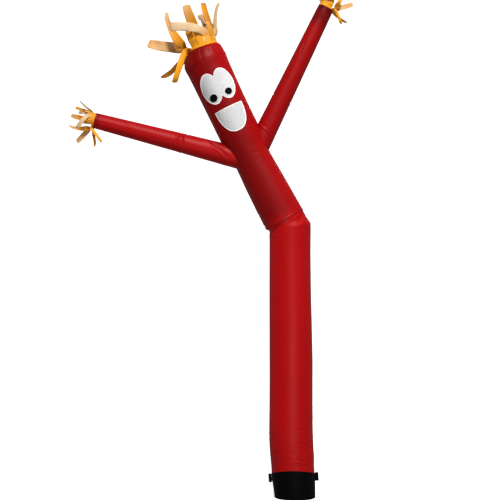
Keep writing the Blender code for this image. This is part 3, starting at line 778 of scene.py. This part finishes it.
# A patch: rings round its middle, and a rim that is turned in, so it stands up a little
def patchPiece(name, middle, reach, colour, tones, on, over=face["over"], **sheet):
    rim = face["rim"]
    step = np.linspace(0.0, 1.0, face["rings"])[:, None] ** face["crowding"]
    aside = middle[0] + step * reach * np.cos(faceTurn)
    s = middle[1] + step * reach * np.sin(faceTurn)
    gapIn = (1 - step) * reach
    deep, width = face["groove"]
    rise = face["rimUp"] * (1 - ease(gapIn / rim, *face["rimRamp"]))
    rise += face["edgeUp"] * ease(gapIn, 0.0, face["edgeTo"])
    rise -= deep * np.exp(-((gapIn - rim) / width) ** 2)
    points = onHead(aside, s, over + rise)
    stretchS, stretchAside, seed, amount = face["slack"]
    slack = amount * waviness(s * stretchS, aside * stretchAside, seed, (1, 2), 1.0)
    # painted light and shade: the inside's tone rises to the right; the slack adds a random tone
    inside = tones[0] + face["paintedLightRight"] * (aside - middle[0]) + slack
    tone = inside + (tones[1] - inside) * (1 - ease(gapIn / rim, *face["toneRamp"]))
    piece = makeMesh(name + "Cloth", points[::-1], gridFaces(*points.shape[:2]),
                     stacked(aside, s)[::-1], tone[::-1], cloths[colour + "Cloth"])
    fitPiece(piece, colour + "_cloth", name, held="stretched", rests_on=[on], **sheet)
    inset = np.maximum(reach - rim * face["seamAt"], 0)
    closed = np.append(np.arange(face["turns"]), 0)
    rimLine = [centre + (inset * part)[closed]
               for centre, part in zip(middle, (np.cos(faceTurn), np.sin(faceTurn)))]
    row = sewnRow(lambda lift: onHead(*rimLine, over + lift), face["edgeTo"], face["stitch"])
    stitchPiece(name + "Stitches", [row], threads[colour + "Thread"], colour + "_cloth")


faceTurn = np.linspace(0, 2 * math.pi, face["turns"], endpoint=False)
eyesMiddle = sum(face["eyes"]) / 2
eyesReach = np.maximum(*[ovalReach(faceTurn, x - eyesMiddle, *face["eyeHalf"])
                         for x in face["eyes"]])
patchPiece("eyes_patch", (eyesMiddle, face["eyeAt"]), eyesReach, "white", (0.62, 1.0),
           "body_tube", flat=(0.4, 0.36), area=0.115)
patchPiece("mouth_patch", (face["mouthAt"], face["mouthTop"] - face["mouthDown"]),
           mouthReach(faceTurn, face["mouthDown"]), "white", (0.58, 1.0), "body_tube",
           flat=(0.33, 0.29), area=0.083)
for name, (aside, along, radius) in face["pupils"].items():
    patchPiece(name, (aside, along), np.full(faceTurn.shape, radius), "black", (1.0, 1.3),
               "eyes_patch", face["over"] + face["pupilOver"], flat=(radius * 2,) * 2,
               area=math.pi * radius ** 2)
print("stage: face")

# The fringes: a slit band; each strip follows a curve through its middle to its tip
fringe = {
    "lap": 0.014, "band": 0.024, "lift": 0.08, "turnIn": (0.05, 0.3), "steps": 34,
    "sides": 9, "thick": 0.0016, "slit": 0.05, "count": 12, "bandColumns": 144, "footRows": 5,
    "hairRadius": 0.1738, "handScale": 0.5, "handInset": 0.0035, "handEase": 0.00015,
    "handTilt": 8, "handThin": 0.8, "edgeThin": 0.6, "tipRound": 0.95, "ruffle": 0.055,
    "widthAt": (0.0, 0.3, 0.62, 1.0), "paleAt": (0.0, 0.45, 1.0),
    # for each strip, in degrees and millimetres at the hair's size: root angle, root height,
    # flare; middle and tip as across, up and back; turn of its broad side, None to keep it;
    # widths beyond its root; cup as a share of the width, waves along it, how pale, tone
    "strips": (
        (0, 60, 14, (246, 274, -6), (350, 408, 0), 22, (56, 40, 34), 0.1, 3,
         (0.5, 1.0, 1.0), 0.85),
        (30, 90, 15, (160, 308, -78), (181, 490, -60), 14, (82, 70, 60), 0.12, 2,
         (0.7, 0.2, 0.0), 1.0),
        (60, 70, 30, (128, 262, -190), (66, 372, -235), 0, (92, 90, 70), 0.08, 3,
         (0.7, 1.0, 0.9), 1.0),
        (90, 90, 10, (-14, 325, -140), (-8, 549, -130), 4, (110, 112, 84), 0.06, 2,
         (0.1, 0.0, 0.7), 0.9),
        (120, 24, 45, (-300, -36, -262), (-552, -106, -200), 50, (94, 84, 48), 0.1, 3,
         (0.0, 0.0, 0.1), 0.8),
        (150, 40, 50, (-362, 164, -110), (-560, 280, -90), 0, (118, 116, 92), 0.08, 3,
         (0.1, 0.6, 0.5), 0.92),
        (180, 24, 50, (-256, 262, 10), (-242, 520, 0), 6, (112, 72, 42), 0.1, 3,
         (0.0, 0.1, 1.0), 1.0),
        (210, 24, 45, (-290, -96, 190), (-436, -275, 150), 30, (80, 72, 60), 0.12, 3,
         (0.0, 0.0, 0.0), 1.0),
        (240, 60, 25, (-94, 205, 112), (-85, 225, -30), None, (90, 88, 78), 0.05, 3,
         (0.0, 0.1, 0.4), 0.9),
        (270, 90, 15, (6, 222, 104), (15, 205, -60), None, (90, 88, 78), 0.05, 3,
         (0.0, 0.1, 0.5), 0.95),
        (300, 90, 25, (-4, 204, 212), (-276, 324, 175), 0, (88, 96, 100), 0.06, 3,
         (0.1, 1.0, 1.0), 1.0),
        (330, 80, 12, (150, 214, 100), (92, 206, 62), None, (88, 84, 74), 0.05, 3,
         (0.0, 0.2, 0.6), 0.9),
    ),
}


# One strip: its width carried along a cubic curve, its broad side brought to the front, turned
def stripGrid(root, middle, tip, start, tangent, widths, turn, hand, cup, wave, scale):
    first = root + start
    second = (8 * middle - root - 3 * first - tip) / 3
    t = np.linspace(0.0, 1.0, fringe["steps"])[:, None]
    curve = (1 - t) ** 3 * root + 3 * (1 - t) ** 2 * t * first
    curve += 3 * (1 - t) * t * t * second + t ** 3 * tip
    along = unit(np.gradient(curve, axis=0))
    low, high = fringe["turnIn"]
    turned = (t[:, 0] - low) / (high - low)
    side, facing, sides = tangent, tangent, []
    for share, way in zip(np.clip(turned, 0, 1), along):
        side = unit(side - (side @ way) * way)
        now = side
        if turn is not None:
            square = np.cross(way, front)
            facing = square * math.copysign(1.0, square @ facing)
            now = unit((1.02 - share) * side + share * facing)
            angle = hand * math.radians(turn) * share
            now = math.cos(angle) * now + math.sin(angle) * np.cross(now, way)
        sides.append(now)
    sides = np.array(sides)
    outer = hand * np.cross(sides, along)
    width = smooth(t[:, 0], fringe["widthAt"], widths)
    tipFrom = fringe["tipRound"]
    rounding = 1.01 - np.clip((t[:, 0] - tipFrom) / (1 - tipFrom), 0, 1) ** 3
    width = (width * np.sqrt(np.clip(rounding, 0.0, 1.0)))[:, None]
    u = np.linspace(-1, 1, fringe["sides"])
    ring = np.concatenate((u, u[::-1]))[None, :]
    cheek = np.repeat((1.0, -1.0), fringe["sides"])[None, :]  # the outer face, then the inner
    thick = fringe["thick"] * 0.5 * (1 - fringe["edgeThin"] * ring ** 8)
    thick *= 1 if scale == 1 else fringe["handThin"]
    rise = cup * width * ease(t, 0.0, 0.25) * (1 - ring ** 2)
    ruffle = np.sin(wave * phaseSpan * t + 2.2 * ring) * np.abs(ring) * ease(t, 0.05, 0.4)
    rise += fringe["ruffle"] * width * ruffle
    points = curve[:, None] + sides[:, None] * (ring * width / 2)[..., None]
    points += outer[:, None] * (rise + cheek * thick)[..., None]
    return points, stacked(ring * width / 2 + (cheek < 0) * 0.2, distances(curve)[:, None])


# A fringe in a tube's open end: a band and its strips in one mesh
def fringePiece(name, centre, up, radius, scale, on, hand=1, tilt=0.0, **sheet):
    side = hand * unit(np.cross(backward, up))
    back = unit(backward - up[1] * up)
    stripSide = math.cos(tilt) * side - math.sin(tilt) * up
    stripUp = math.cos(tilt) * up + math.sin(tilt) * side
    thick, count, mm = fringe["thick"], fringe["sides"], 0.001 * scale
    cap = capFaces(2 * count)
    points, faces, flats, pales, tones, start = [], [], [], [], [], 0

    # Adds one closed grid and keeps count of the points
    def addGrid(grid, flat, pale, tone, looped=False):
        nonlocal start
        shape = grid.shape[:2]
        faces.append(gridFaces(*shape, start, looped))
        points.append(grid.reshape(-1, 3))
        flats.append(flat.reshape(-1, 2))
        tones.append(np.broadcast_to(tone, shape).ravel())
        pales.append(np.broadcast_to(pale, shape).ravel())
        start += shape[0] * shape[1]

    # A direction that leaves the tube's middle at the given angle
    def outwards(angle):
        return np.cos(angle)[..., None] * side + np.sin(angle)[..., None] * back

    bandTurn = turnOf(fringe["bandColumns"])
    level = np.array((-1, -0.6, -0.2, 0.3, 1, 1, 0.3, -0.2, -1))[:, None]
    inner = np.array((0, 0, 0, 0, 0, 1, 1, 1, 1))[:, None]
    high = np.where(level > 0, fringe["band"] * scale, fringe["lap"]) * level
    band = centre + (radius - thick * inner)[..., None] * outwards(bandTurn)
    band += high[..., None] * up
    addGrid(band, stacked(bandTurn * radius, high), 0, 1.0, True)

    halfStrip = (1 - fringe["slit"]) * math.pi / fringe["count"]
    ring = np.linspace(-1, 1, count) * halfStrip
    ring = np.concatenate((ring, ring[::-1]))
    wall = radius - 0.0002 - np.repeat((0.0, thick), count)
    for row in fringe["strips"]:
        degrees, height, flare, middle, tip, turn, widths, cup, wave, pale, tone = row
        angle, flare = math.radians(degrees), math.radians(flare)
        outward = outwards(np.array(angle))
        tangent = math.cos(angle) * back - math.sin(angle) * side
        lean = fringe["lift"] * scale * (math.cos(flare) * up + math.sin(flare) * outward)
        root = centre + (radius - 0.001) * outward * math.cos(0.2) + mm * height * up
        spots = [centre + mm * (x * stripSide + y * stripUp - z * back)
                 for x, y, z in (middle, tip)]
        wide = [2 * radius * math.sin(halfStrip)] + [mm * width for width in widths]
        grid, flat = stripGrid(root, *spots, lean, tangent, wide, turn, hand, cup, wave, scale)
        levels = np.linspace(12 * mm, (height - 4) * mm, fringe["footRows"])
        lower = centre + wall[:, None] * outwards(angle + ring) + levels[:, None, None] * up
        grid = np.concatenate((lower, grid[1:]))
        flat = np.concatenate((np.repeat(flat[:1], fringe["footRows"], axis=0), flat[1:]))
        if hand < 0:
            grid, flat = grid[:, ::-1], flat[:, ::-1]
        share = np.linspace(-0.15, 1, len(grid))[:, None]
        addGrid(grid, flat, smooth(share, fringe["paleAt"], pale), tone)
        faces.append(cap + start - 2 * count)
        faces.append((cap + start - len(grid) * 2 * count)[:, ::-1])
    obj = makeMesh(name + "Cloth", np.concatenate(points), np.concatenate(faces),
                   np.concatenate(flats), np.concatenate(tones), cloths["orangeNylon"],
                   np.concatenate(pales))
    fitPiece(obj, "orange_nylon", name, held="draped", rests_on=[on], **sheet)


ventX, ventZ = axisPoint(body["top"], body["shift"][-1])
ventLean = float(axisLean(body["top"])) + math.radians(body["ventTurn"])
fringePiece("hair", np.array((ventX, 0.0, ventZ)),
            np.array((-math.sin(ventLean), 0.0, math.cos(ventLean))), fringe["hairRadius"], 1.0,
            "body_tube", flat=(1.09, 0.62), area=0.5)
for side, hand, tilt in (("left", 1, 0.0), ("right", -1, math.radians(fringe["handTilt"]))):
    key = "arm_" + side
    _, handPlace, handWay, *_ = armFrame(arms[key])
    radius = (arms[key]["wide"][1] / 2 - fringe["handInset"]) * math.cos(math.pi / 24)
    fringePiece("hand_" + side, handPlace, handWay, radius + fringe["handEase"],
                fringe["handScale"], key, hand, tilt, flat=(0.53, 0.31), area=0.125)
print("stage: fringes")

# Stitches: two rows round the waist, one at each arm's root and hem, two along the strap
sewing = {
    "steps": 241, "waist": (0.007, 0.014), "armRoot": 0.007, "armHem": 0.031,
    "strap": (-0.8, 0.8),
    # a stitch's pitch, length, width and lift
    "seam": (0.0062, 0.0046, 0.0013, 0.0004), "web": (0.006, 0.0044, 0.0014, 0.0002),
}
ringTurn = np.linspace(0, 2 * math.pi, sewing["steps"])
rows = [sewnRow(lambda lift: bodyPoint(np.full(sewing["steps"], at), ringTurn, lift), 0.0,
                sewing["seam"]) for at in sewing["waist"]]
stitchPiece("waistStitches", rows, threads["redThread"], "red_nylon")
for name, arm in arms.items():
    hem = np.full(sewing["steps"], 1 - sewing["armHem"] / armFrame(arm)[5])
    rows = [sewnRow(lambda lift: armPoint(arm, share, ringTurn, lift), 0.0002, sewing["seam"])
            for share in (armStart(arm, ringTurn, sewing["armRoot"]), hem)]
    stitchPiece(name + "Stitches", rows, threads["redThread"], "red_nylon")
rows = [sewnRow(lambda lift: footPoint(seamLine(ringTurn, side * strap["half"]), ringTurn,
                                       strap["radius"] + lift), 0.0026, sewing["web"])
        for side in sewing["strap"]]
stitchPiece("strapStitches", rows, threads["blackThread"], "black_webbing")
print("stage: stitches")

# Studio: a round pale floor and wall that throw no light on the cloth
studio = {
    "reach": 40.0, "wall": 60.0, "pale": 0.9, "near": 0.62, "paleIn": (4.0, 11.0),
    "columns": 96, "world": 0.3, "lens": 96.0, "eye": (-0.50625, -15.0, 2.77875),
    # place, aim, size, power, whether the cloth shines with it
    "lights": {
        "key": ((1.9, -10.4, 15.0), (-0.5, 0.0, 2.8), 4.0, 3050.0, True),
        "fill": ((1.0, -7.0, 1.0), (-0.1, 0.0, 1.3), 2.0, 150.0, True),
        "back": ((5.5, 11.8, 8.0), (-0.5, 0.0, 2.8), 4.0, 700.0, False),
    },
}


# A surface of revolution that glows by the given value at each of its rings
def stagePiece(name, radius, height, glow, casts):
    paper = Shader(name, (studio["pale"],) * 3, 0.9)
    paper.link(paper.add("Attribute", {"attribute_name": "tone"}, "Fac"), "Emission Strength")
    turns = turnOf(studio["columns"])
    points = stacked(radius * np.cos(turns), radius * np.sin(turns), height)
    piece = makeMesh(name, points, gridFaces(*points.shape[:2]), None, glow, paper.material)
    piece.visible_glossy = piece.visible_diffuse = False
    piece.visible_shadow = casts


# A round area light that faces its aim
def addLight(name, place, aim, size, power, shines):
    light = bpy.data.lights.new(name, "AREA")
    light.shape, light.size, light.energy = "DISK", size, power
    obj = addObject(name, light)
    way = unit(np.array(aim) - np.array(place))
    obj.location = place
    obj.rotation_euler = (math.acos(-way[2]), 0.0, math.atan2(-way[0], way[1]))
    obj.visible_glossy = shines


floorRadius = np.concatenate((np.linspace(0.0, 12.0, 25), (20.0, studio["reach"])))[:, None]
floorGlow = ease(floorRadius, *studio["paleIn"])
floorGlow = studio["near"] + (1 - studio["near"]) * floorGlow
stagePiece("studioFloor", floorRadius, 0.0, floorGlow, True)
stagePiece("studioWall", studio["reach"], np.array((0.0, studio["wall"]))[:, None], 1.0, False)
for name, light in studio["lights"].items():
    addLight(name, *light)
world = bpy.data.worlds.new("studioWorld")
bpy.context.scene.world = world
world.use_nodes = True
background = world.node_tree.nodes["Background"]
background.inputs[0].default_value = (1.0, 1.0, 1.0, 1.0)
background.inputs[1].default_value = studio["world"]
bpy.context.scene.view_settings.view_transform = "Standard"

camera = bpy.data.cameras.new("camera")
camera.lens, camera.sensor_width, camera.clip_end = studio["lens"], 36.0, 100.0
cameraObject = addObject("camera", camera)
cameraObject.location = studio["eye"]
cameraObject.rotation_euler = (math.pi / 2, 0.0, 0.0)
bpy.context.scene.camera = cameraObject
